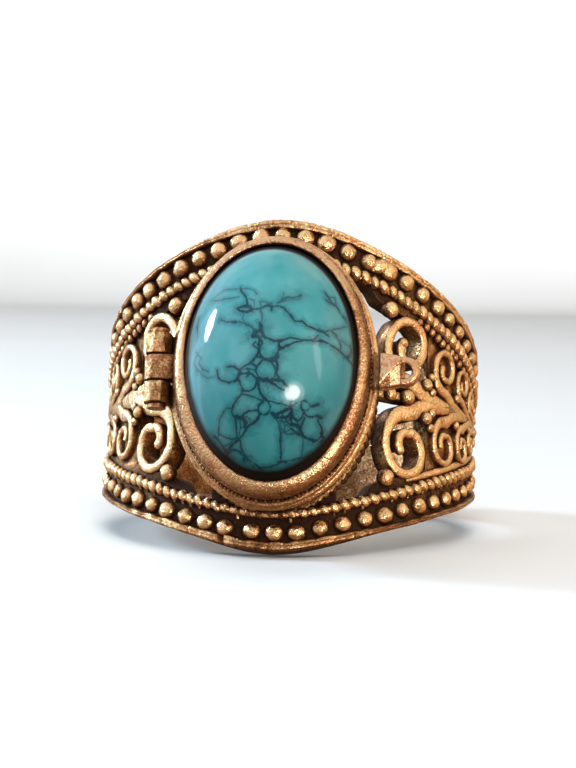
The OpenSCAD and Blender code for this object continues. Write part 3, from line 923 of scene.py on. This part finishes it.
def vein_field(points):
    """For points of the stone: distance to the nearest vein in vein widths, and that vein's darkness."""
    width_mm, curve_steps = 0.05, 3

    def shaken(q):
        return grain(q, 0.5, 0.07) + grain(q, 0.16, 0.025)

    p = np.array([(q.x + shaken(q), q.y, q.z + shaken(q + Vector((7, 3, 1)))) for q in points])
    nearest = np.full(len(p), 99.0)
    dark = np.zeros(len(p))
    for row in VEINS.strip().split("\n"):
        width, darkness, *line = row.split()
        line = [tuple(float(v) for v in pair.split(",")) for pair in line]
        line = [stone_point(lerp(a[0], b[0], k / curve_steps), lerp(a[1], b[1], k / curve_steps))
                for a, b in zip(line, line[1:]) for k in range(curve_steps)] + [stone_point(*line[-1])]
        for a, b in zip(line, line[1:]):
            a, along = np.array(a), np.array(b - a)
            t = np.clip((p - a) @ along / max(along @ along, 1e-9), 0, 1)
            d = np.linalg.norm(p - a - t[:, None] * along, axis=1) / (float(width) * width_mm)
            closer = d < nearest
            nearest[closer] = d[closer]
            dark[closer] = float(darkness)
    return nearest, dark


def cabochon(shape):
    """The stone. Its wear value is its height above the bezel's lip, 0 at the lip and 1 or more above the
    dark band of grime and painted shadow along it.
    """
    n, rows = 560, 150
    foot = STONE_BOTTOM + STONE_FOOT_H
    rings = [oval(STONE_A * STONE_FOOT, STONE_B * STONE_FOOT, STONE_BOTTOM, n)]
    rings += [oval(STONE_A, STONE_B, foot, n)]
    for i in range(1, rows):
        across, up = dome(i / rows)
        rings.append(oval(STONE_A * across, STONE_B * across, foot + (STONE_H - STONE_FOOT_H) * up, n))
    lip = LID_TOP + BEZEL[-7][1]

    def above_edge(p):
        # The dark band is broader towards the bottom and the left, where its painted shadow is deeper.
        broad = smooth(0.2, -0.8, p.z / STONE_B + 0.4 * p.x / STONE_A)
        return (-p.y - lip) / (DARK_EDGE * (1 + 0.55 * broad))

    shape.sweep(rings, above_edge, capped=False)
    shape.fan((len(rings) - 1) * n, n, Vector((0, -STONE_BOTTOM - STONE_H, 0)), 9.0)
    shape.fan(0, n, Vector((0, -STONE_BOTTOM, 0)), -9.0)
    shape.veins = dict(zip(("vein", "vein_dark"), vein_field(shape.points)))


class Nodes:
    """Short names for making and joining the shader nodes of a material or a world."""

    def __init__(self, owner, end):
        owner.use_nodes = True
        self.owner = owner
        self.tree = owner.node_tree
        self.end = self.tree.nodes[end]

    def make(self, kind, inputs=(), **settings):
        node = self.tree.nodes.new("ShaderNode" + kind)
        for key, value in settings.items():
            setattr(node, key, value)
        for key, value in dict(inputs).items():
            if isinstance(value, bpy.types.NodeSocket):
                self.tree.links.new(value, node.inputs[key])
            else:
                node.inputs[key].default_value = value
        return node

    def math(self, operation, one, two=0.5, clamp=False):
        return self.make("Math", {0: one, 1: two}, operation=operation, use_clamp=clamp).outputs[0]

    def times(self, one, two, clamp=False):
        return self.math("MULTIPLY", one, two, clamp)

    def span(self, value, low=0.0, high=1.0, least=0.0, most=1.0):
        """A value between low and high, carried over to between least and most."""
        return self.make("MapRange", {"Value": value, "From Min": low, "From Max": high, "To Min": least,
                                      "To Max": most}).outputs[0]

    def mix(self, share, one, two, blend="MIX"):
        return self.make("MixRGB", {"Fac": share, "Color1": one, "Color2": two}, blend_type=blend).outputs[0]

    def ramp(self, fac, stops):
        node = self.make("ValToRGB", {0: fac})
        elements = node.color_ramp.elements
        while len(elements) < len(stops):
            elements.new(0.5)
        for element, (at, colour) in zip(elements, stops):
            element.position = at
            element.color = (*colour, 1) if isinstance(colour, tuple) else (colour, colour, colour, 1)
        return node.outputs[0]

    def noise(self, where, size_mm, detail=3, rough=0.55):
        return self.make("TexNoise", {"Vector": where, "Scale": 1 / (size_mm * MM), "Detail": detail,
                                      "Roughness": rough}).outputs[0]

    def attribute(self, name):
        return self.make("Attribute", attribute_name=name).outputs["Fac"]

    def bump(self, height, strength, depth_mm, **below):
        return self.make("Bump", {"Height": height, "Strength": strength, "Distance": depth_mm * MM,
                                  **below}).outputs[0]

    def join(self, output, socket):
        self.tree.links.new(output, self.end.inputs[socket])


def material_nodes(name):
    return Nodes(bpy.data.materials.new(name), "Principled BSDF")


DARK = (0.035, 0.014, 0.007)


def brass(name, middle, bright, shine, even=False):
    """Antiqued brass: bright where the wear attribute is high and oxidised where it is low, which in places
    is painted shade; darker in crevices by ambient occlusion, oxide and painted shade together.
    """
    n = material_nodes(name)
    where = n.make("TexCoord").outputs["Object"]
    rub_and_shade = n.math("ADD", n.attribute("wear_and_shade"), 0.7 if even else 0.0)
    # Ambient occlusion darkens the crevices: oxide in the hollows and painted shade together.
    crevice_oxide_and_shade = n.make("AmbientOcclusion", {"Distance": 0.5 * MM}, samples=6).outputs["AO"]
    cloud = n.noise(where, 0.9, 4)
    speck = n.noise(where, 0.13, 3, 0.7)
    mottle = n.math("ADD", n.math("SUBTRACT", cloud), n.times(n.math("SUBTRACT", speck), 1.6))
    patina_and_shade = n.math("ADD", rub_and_shade, n.times(mottle, n.span(rub_and_shade, high=0.5, least=0.3)))
    patina_and_shade = n.times(patina_and_shade, n.span(crevice_oxide_and_shade, 0.25, 0.9), clamp=True)
    brown = tuple(lerp(d, m, 0.4) for d, m in zip(DARK, middle))
    colour = n.ramp(patina_and_shade, [(0.05, DARK), (0.3, brown), (0.6, middle), (0.95, bright)])
    tone = n.ramp(n.noise(where, 1.3, 2), [(0.38, (1.0, 0.88, 0.82)), (0.62, (0.98, 1.0, 0.92))])
    n.join(n.mix(1.0, colour, tone, "MULTIPLY"), "Base Color")
    n.join(n.ramp(patina_and_shade, [(0.08, 0.3), (0.3, 1.0)]), "Metallic")
    n.join(n.ramp(patina_and_shade, [(0.1, 0.7), (0.5, 0.4), (0.95, shine)]), "Roughness")
    n.end.inputs["Specular IOR Level"].default_value = 0.15
    fine = n.bump(n.noise(where, 0.1, 2), 0.7, 0.05)
    n.join(n.bump(n.noise(where, 0.4, 2), 0.6, 0.09, Normal=fine), "Normal")
    return n.owner


BAND_BRASS = brass("band_brass", (0.37, 0.195, 0.085), (0.86, 0.625, 0.37), 0.22)
LID_BRASS = brass("lid_brass", (0.34, 0.17, 0.08), (0.72, 0.49, 0.3), 0.2)
PIN_BRASS = brass("pin_brass", (0.3, 0.15, 0.07), (0.75, 0.5, 0.28), 0.3, even=True)


def turquoise():
    """The stone: a clouded ground, dark veins with a soft halo and fine cracks, and a dark band of grime and
    painted shadow along the bezel's lip.
    """
    n = material_nodes("cabochon")
    where = n.make("TexCoord").outputs["Object"]
    cloud = n.noise(where, 3.0, 5, 0.6)
    ground = n.ramp(cloud, [(0.3, (0.03, 0.25, 0.265)), (0.52, (0.038, 0.295, 0.313)),
                            (0.7, (0.048, 0.34, 0.36))])
    ragged = n.times(n.math("SUBTRACT", n.noise(where, 0.2, 3)), 1.8)
    swell = n.math("ADD", n.times(n.noise(where, 0.7, 3), 2.2), -0.1)
    near = n.math("ADD", n.times(n.attribute("vein"), swell), ragged)
    core = n.span(near, 2.2, 0.6)
    halo = n.times(n.span(near, 6.5, 0.8), 0.5)
    swirl = n.make("TexNoise", {"Vector": where, "Scale": 1 / (0.3 * MM), "Detail": 2}).outputs["Color"]
    swirl = n.make("VectorMath", {0: swirl, "Scale": 0.45 * MM}, operation="SCALE").outputs[0]
    bent = n.make("VectorMath", {0: where, 1: swirl}, operation="ADD").outputs[0]
    cells = n.make("TexVoronoi", {"Vector": bent, "Scale": 1 / (0.42 * MM)}, feature="DISTANCE_TO_EDGE")
    crack = n.times(n.span(cells.outputs[0], 0.12, 0.02), n.span(near, 7.0, 3.0, 0.0, 0.6))
    crack = n.times(crack, n.times(n.noise(where, 1.1, 2), 1.6))
    cover = n.math("MAXIMUM", n.math("MAXIMUM", core, halo), crack)
    cover = n.times(cover, n.math("ADD", n.attribute("vein_dark"), 0.14), clamp=True)
    high = n.math("ADD", n.attribute("wear_and_shade"), n.times(n.math("SUBTRACT", cloud), 0.6))
    # Near-black towards the bezel's lip: grime and painted shadow of the lip.
    grime_and_shade = n.span(high, 1.65, 0.95)
    body = n.times(n.math("SUBTRACT", n.noise(where, 0.9, 3), 0.35), 2.4, clamp=True)
    vein = n.ramp(body, [(0.0, (0.003, 0.055, 0.076)), (1.0, (0.003, 0.022, 0.038))])
    n.join(n.mix(grime_and_shade, n.mix(cover, ground, vein), (0.008, 0.006, 0.006, 1)), "Base Color")
    n.join(n.span(grime_and_shade, least=0.09, most=0.5), "Roughness")
    dull = n.math("MAXIMUM", grime_and_shade, n.times(cover, 0.7))
    n.join(n.span(dull, least=0.5, most=0.12), "Specular IOR Level")
    n.end.inputs["IOR"].default_value = 1.6
    return n.owner


STONE = turquoise()


build("band_sheet", band_sheet, "ring", BAND_BRASS, stands_for="band")
for piece_name, maker in (
        ("edge_rims", edge_rims), ("bead_rails", bead_rails), ("rail_strands", rail_strands),
        ("row_granules", row_granules), ("scroll_wires", scroll_wires),
        ("scroll_granules", scroll_granules), ("box_wall", box_wall), ("box_floor", box_floor),
        ("box_collar", box_collar)):
    build(piece_name, maker, "ring", BAND_BRASS)
build("hinge_ears", hinge_ears, "ring", BAND_BRASS, sharp=12)
build("lid_plate", lid_plate, "lid", LID_BRASS, stands_for="lid")
for piece_name, maker, crease in (
        ("bezel", bezel, 40), ("bezel_milgrain", bezel_milgrain, 40), ("lid_tongue", lid_tongue, 20),
        ("tongue_eye", tongue_eye, 40), ("hinge_barrel", hinge_barrel, 12)):
    build(piece_name, maker, "lid", LID_BRASS, crease)
build("cabochon", cabochon, "lid", STONE, stands_for="stone")
pin = frame["nodes"]["hinge_pin"]
pin.data.materials.clear()
pin.data.materials.append(PIN_BRASS)


def make_camera():
    turn = REST.to_3x3().normalized() @ Matrix(camera_axes()).transposed()
    data = bpy.data.cameras.new("camera")
    data.sensor_fit = "VERTICAL"
    data.sensor_height = SENSOR_MM
    data.lens = FOCAL_PX * SENSOR_MM / FRAME_H_PX
    data.clip_start = 0.01
    camera = link("camera", data)
    camera.matrix_world = Matrix.Translation(REST @ CAMERA_EYE) @ turn.to_4x4()
    bpy.context.scene.camera = camera


def make_floor():
    """A pale floor that curves up into a wall all round."""
    wall_r, wall_h, bend, sides = 0.42, 0.6, 0.12, 96
    profile = [(0.15, 0.0), (wall_r - bend, 0.0)]
    profile += [(wall_r - bend + bend * sin(t), bend - bend * cos(t)) for t in turns(32)[:9]]
    profile += [(wall_r, wall_h)]
    points = [(0, 0, 0)] + [(r * cos(t), r * sin(t), z) for r, z in profile for t in turns(sides)]
    faces = [[0, 1 + k, 1 + (k + 1) % sides] for k in range(sides)]
    for inner in range(1, len(points) - sides, sides):
        outer = inner + sides
        faces += [[inner + k, outer + k, outer + (k + 1) % sides, inner + (k + 1) % sides]
                  for k in range(sides)]
    mesh = bpy.data.meshes.new("floor")
    mesh.from_pydata(points, [], faces)
    mesh.shade_smooth()
    n = material_nodes("pale_floor")
    where = n.make("TexCoord").outputs["Object"]
    n.join(n.ramp(n.noise(where, 60, 2), [(0.3, (0.86, 0.85, 0.83)), (0.7, (0.9, 0.89, 0.87))]), "Base Color")
    n.end.inputs["Roughness"].default_value = 0.9
    mesh.materials.append(n.owner)
    floor = link("floor", mesh)
    floor.visible_glossy = False
    floor.visible_diffuse = False


def light(name, towards, distance, size, power, colour=(1, 1, 1), tall=None, turned=False, lean=0):
    """A soft light at an azimuth and elevation from the stone, which it faces unless it is turned away."""
    azimuth, elevation = (radians(v) for v in towards)
    aim = Vector((0, -0.008, 0.01))
    place = aim + distance * direction(azimuth, elevation)
    data = bpy.data.lights.new(name, "AREA")
    data.shape = "ELLIPSE" if tall else "DISK"
    data.size = size
    if tall:
        data.size_y = tall
    data.energy = power
    data.color = colour
    lamp = link(name, data)
    lamp.rotation_mode = "QUATERNION"
    faced = ((aim - place) if turned else (place - aim)).to_track_quat("Z", "Y")
    lamp.rotation_quaternion = faced @ Quaternion((0, 0, 1), radians(lean))
    lamp.location = place
    lamp.visible_camera = False
    return lamp


def make_lights():
    """Five lights that the metal and the stone mirror, and five soft ones that only brighten."""
    light("window", (-103, 24), 0.3, 0.048, 0.6, (0.68, 0.85, 1.0), tall=0.076, lean=16)
    light("wall", (-112, 0), 0.3, 0.12, 0.13, (0.42, 0.74, 1.0), tall=0.3)
    light("lamp", (31, 0), 0.1, 0.035, 0.021, (1, 0.97, 0.92), tall=0.018)
    light("lamp_glow", (32, -1), 0.11, 0.06, 0.014, (1, 0.97, 0.92), tall=0.034)
    light("right_strip", (68, 20), 0.3, 0.045, 0.032, (1, 0.93, 0.83), tall=0.16)
    for soft in (light("left_sky", (-95, 18), 0.3, 0.15, 0.25, (0.35, 0.65, 1.0)),
                 light("overhead", (-165, 66), 0.42, 0.42, 0.9, (1, 0.98, 0.95)),
                 light("front", (12, 50), 0.4, 0.25, 1.2, (0.97, 0.99, 1.0)),
                 light("low_fill", (-10, 2), 0.3, 0.3, 0.32, (0.93, 0.97, 1.0)),
                 light("backdrop", (180, 42), 0.2, 0.2, 1.45, turned=True)):
        soft.visible_glossy = False


def make_world():
    """The room that the metal mirrors: dim below, pale above, cool at the left and warm at the right."""
    n = Nodes(bpy.data.worlds.new("studio"), "Background")
    where = n.make("TexCoord").outputs["Generated"]
    across, _, high = n.make("SeparateXYZ", {0: where}).outputs
    room = n.ramp(n.span(high, -1), [(0.0, (0.2, 0.11, 0.06)), (0.36, (0.6, 0.42, 0.29)),
                                     (0.5, (0.74, 0.6, 0.46)), (0.68, (1.05, 1.0, 0.95)),
                                     (1.0, (1.08, 1.06, 1.04))])
    tint = n.ramp(n.span(across, -1), [(0.12, (1.15, 1.25, 1.42)), (0.5, (0.8, 0.76, 0.72)),
                                       (0.88, (1.15, 0.93, 0.7))])
    n.join(n.mix(1, room, tint, "MULTIPLY"), "Color")
    spots = n.make("TexNoise", {"Vector": where, "Scale": 2.2, "Detail": 2}).outputs[0]
    n.join(n.span(spots, 0.35, 0.65, 0.5, 1.45), "Strength")
    n.owner.cycles_visibility.diffuse = False
    bpy.context.scene.world = n.owner
    bpy.context.scene.view_settings.view_transform = "Standard"


make_camera()
make_floor()
make_lights()
make_world()
